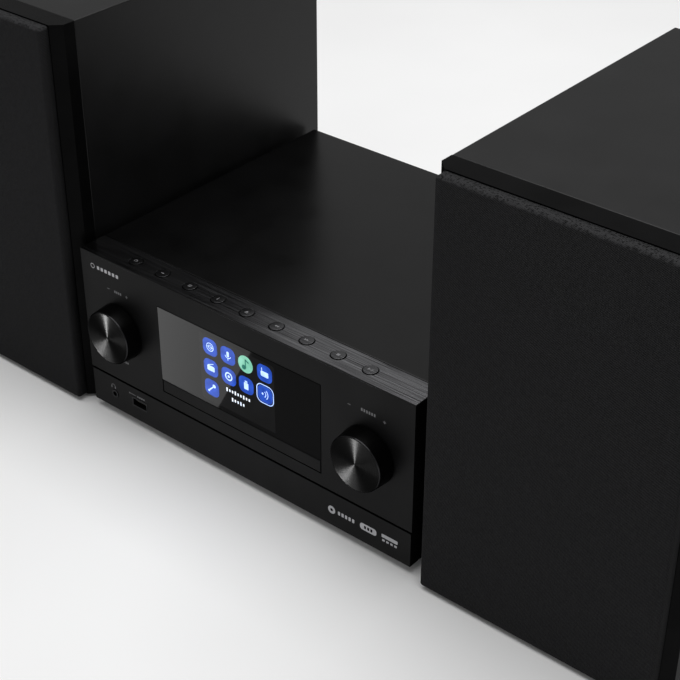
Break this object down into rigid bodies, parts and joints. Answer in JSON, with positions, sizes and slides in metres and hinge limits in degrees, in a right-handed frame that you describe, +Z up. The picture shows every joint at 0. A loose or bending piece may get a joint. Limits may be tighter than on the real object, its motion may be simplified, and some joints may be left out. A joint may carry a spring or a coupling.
{
  "type": "mini hifi system",
  "caption": "Mini hifi system: a low black centre unit with a display, disc drawer, two turning knobs and top buttons, between two taller bookshelf speakers with cloth grilles.",
  "frame": {"origin": "centre of the base, on the surface that the feet stand on", "axes": "+Z up, -Y out of the front panel, +X to the right as seen from the front"},
  "size_m": [0.629, 0.2594, 0.278],
  "materials": {
    "matte_black_steel": "fine textured matt black paint",
    "bare_steel": "zinc plated sheet",
    "fascia_black": "satin black",
    "brushed_black": "black anodised, brushed along the length",
    "window_black": "polished",
    "module_black": "moulded",
    "circuit_board": "green solder mask with parts",
    "heatsink_alloy": "extruded",
    "socket_plastic": "moulded",
    "nickel": "nickel plate",
    "rubber": "matt",
    "mechanism_plastic": "moulded",
    "gear_plastic": "natural acetal",
    "turntable_alloy": "turned",
    "encoder_metal": "plated",
    "knob_metal": "black anodised, turned face",
    "cabinet_black": "board wrapped in matt black vinyl",
    "baffle_black": "satin black lacquer",
    "grille_frame_black": "moulded",
    "grille_cloth": "open knitted acoustic cloth",
    "basket_black": "black painted steel",
    "cone_paper": "coated paper cone",
    "tweeter_black": "moulded plate and fabric dome",
    "port_plastic": "moulded",
    "speaker_rubber": "matt"
  },
  "bodies": {
    "root": {"bottom_chassis": "bare_steel", "top_cover": "matte_black_steel", "rear_panel": "matte_black_steel", "fascia": "fascia_black", "top_strip": "brushed_black", "lower_panel": "fascia_black", "display_window": "window_black", "display_module": "module_black", "main_board": "circuit_board", "control_board": "circuit_board", "power_supply": "circuit_board", "heatsink": "heatsink_alloy", "headphone_jack": "bare_steel", "usb_port": "bare_steel", "mains_inlet": "socket_plastic", "speaker_sockets": "socket_plastic", "aerial_socket": "nickel", "unit_feet": "rubber", "case_screws": "bare_steel", "loader_frame": "bare_steel", "disc_clamp": "mechanism_plastic", "knob_encoders": "encoder_metal"},
    "drawer": {"disc_tray": "mechanism_plastic", "drawer_door": "fascia_black"},
    "loading_gear": {"loading_gear": "gear_plastic"},
    "cradle": {"cradle": "mechanism_plastic"},
    "turntable": {"turntable": "turntable_alloy"},
    "laser_sled": {"laser_sled": "mechanism_plastic"},
    "tune_plunger": {"tune_plunger": "gear_plastic"},
    "tune_knob": {"tune_knob": "knob_metal"},
    "volume_knob": {"volume_knob": "knob_metal"},
    "power_button": {"power_button": "brushed_black"},
    "source_button": {"source_button": "brushed_black"},
    "menu_button": {"menu_button": "brushed_black"},
    "info_button": {"info_button": "brushed_black"},
    "eject_button": {"eject_button": "brushed_black"},
    "previous_button": {"previous_button": "brushed_black"},
    "next_button": {"next_button": "brushed_black"},
    "stop_button": {"stop_button": "brushed_black"},
    "play_button": {"play_button": "brushed_black"},
    "left_speaker": {"left_cabinet": "cabinet_black", "left_baffle": "baffle_black", "left_woofer_frame": "basket_black", "left_tweeter": "tweeter_black", "left_port_tube": "port_plastic", "left_terminal_plate": "port_plastic", "left_feet": "speaker_rubber"},
    "left_grille": {"left_grille_frame": "grille_frame_black", "left_grille_cloth": "grille_cloth"},
    "left_woofer_cone": {"left_woofer_cone": "cone_paper"},
    "right_speaker": {"right_cabinet": "cabinet_black", "right_baffle": "baffle_black", "right_woofer_frame": "basket_black", "right_tweeter": "tweeter_black", "right_port_tube": "port_plastic", "right_terminal_plate": "port_plastic", "right_feet": "speaker_rubber"},
    "right_grille": {"right_grille_frame": "grille_frame_black", "right_grille_cloth": "grille_cloth"},
    "right_woofer_cone": {"right_woofer_cone": "cone_paper"}
  },
  "joints": [
    {"name": "drawer_slide", "type": "slide", "parent": "root", "child": "drawer", "axis": [0, -1, 0], "range_m": [0, 0.134]},
    {"name": "gear_turn", "type": "hinge", "parent": "root", "child": "loading_gear", "pos_m": [0.07425, -0.08275, 0.048], "axis": [0, 0, 1], "range_deg": [-10, 870]},
    {"name": "cradle_drop", "type": "hinge", "parent": "root", "child": "cradle", "pos_m": [0, 0.04825, 0.0402], "axis": [1, 0, 0], "range_deg": [0, 5], "stiffness_Nm_per_rad": 1, "springref_deg": -8.59},
    {"name": "disc_spin", "type": "hinge", "parent": "cradle", "child": "turntable", "pos_m": [0, -0.04675, 0.047], "axis": [0, 0, 1], "continuous": true},
    {"name": "sled_slide", "type": "slide", "parent": "cradle", "child": "laser_sled", "axis": [0, 1, 0], "range_m": [0, 0.034]},
    {"name": "tune_press", "type": "slide", "parent": "root", "child": "tune_plunger", "axis": [0, 1, 0], "range_m": [0, 0.0008], "stiffness_N_per_m": 1500, "springref_m": -0.001},
    {"name": "tune_turn", "type": "hinge", "parent": "tune_plunger", "child": "tune_knob", "pos_m": [-0.106, -0.11675, 0.0757], "axis": [0, -1, 0], "continuous": true},
    {"name": "volume_turn", "type": "hinge", "parent": "root", "child": "volume_knob", "pos_m": [0.106, -0.11675, 0.0757], "axis": [0, -1, 0], "continuous": true},
    {"name": "power_press", "type": "slide", "parent": "root", "child": "power_button", "axis": [0, 0, -1], "range_m": [0, 0.001], "stiffness_N_per_m": 500, "springref_m": -0.0008},
    {"name": "source_press", "type": "slide", "parent": "root", "child": "source_button", "axis": [0, 0, -1], "range_m": [0, 0.001], "stiffness_N_per_m": 500, "springref_m": -0.0008},
    {"name": "menu_press", "type": "slide", "parent": "root", "child": "menu_button", "axis": [0, 0, -1], "range_m": [0, 0.001], "stiffness_N_per_m": 500, "springref_m": -0.0008},
    {"name": "info_press", "type": "slide", "parent": "root", "child": "info_button", "axis": [0, 0, -1], "range_m": [0, 0.001], "stiffness_N_per_m": 500, "springref_m": -0.0008},
    {"name": "eject_press", "type": "slide", "parent": "root", "child": "eject_button", "axis": [0, 0, -1], "range_m": [0, 0.001], "stiffness_N_per_m": 500, "springref_m": -0.0008},
    {"name": "previous_press", "type": "slide", "parent": "root", "child": "previous_button", "axis": [0, 0, -1], "range_m": [0, 0.001], "stiffness_N_per_m": 500, "springref_m": -0.0008},
    {"name": "next_press", "type": "slide", "parent": "root", "child": "next_button", "axis": [0, 0, -1], "range_m": [0, 0.001], "stiffness_N_per_m": 500, "springref_m": -0.0008},
    {"name": "stop_press", "type": "slide", "parent": "root", "child": "stop_button", "axis": [0, 0, -1], "range_m": [0, 0.001], "stiffness_N_per_m": 500, "springref_m": -0.0008},
    {"name": "play_press", "type": "slide", "parent": "root", "child": "play_button", "axis": [0, 0, -1], "range_m": [0, 0.001], "stiffness_N_per_m": 500, "springref_m": -0.0008},
    {"name": "left_speaker_move", "type": "slide", "parent": "root", "child": "left_speaker", "axis": [-1, 0, 0], "range_m": [0, 0.3]},
    {"name": "left_grille_pull", "type": "slide", "parent": "left_speaker", "child": "left_grille", "axis": [0, -1, 0], "range_m": [0, 0.06]},
    {"name": "left_cone_stroke", "type": "slide", "parent": "left_speaker", "child": "left_woofer_cone", "axis": [0, -1, 0], "range_m": [-0.002, 0.002], "stiffness_N_per_m": 400},
    {"name": "right_speaker_move", "type": "slide", "parent": "root", "child": "right_speaker", "axis": [1, 0, 0], "range_m": [0, 0.3]},
    {"name": "right_grille_pull", "type": "slide", "parent": "right_speaker", "child": "right_grille", "axis": [0, -1, 0], "range_m": [0, 0.06]},
    {"name": "right_cone_stroke", "type": "slide", "parent": "right_speaker", "child": "right_woofer_cone", "axis": [0, -1, 0], "range_m": [-0.002, 0.002], "stiffness_N_per_m": 400}
  ],
  "couplings": [
    {"joint": "gear_turn", "follows": "drawer_slide", "rad_per_m": 111.11}
  ]
}
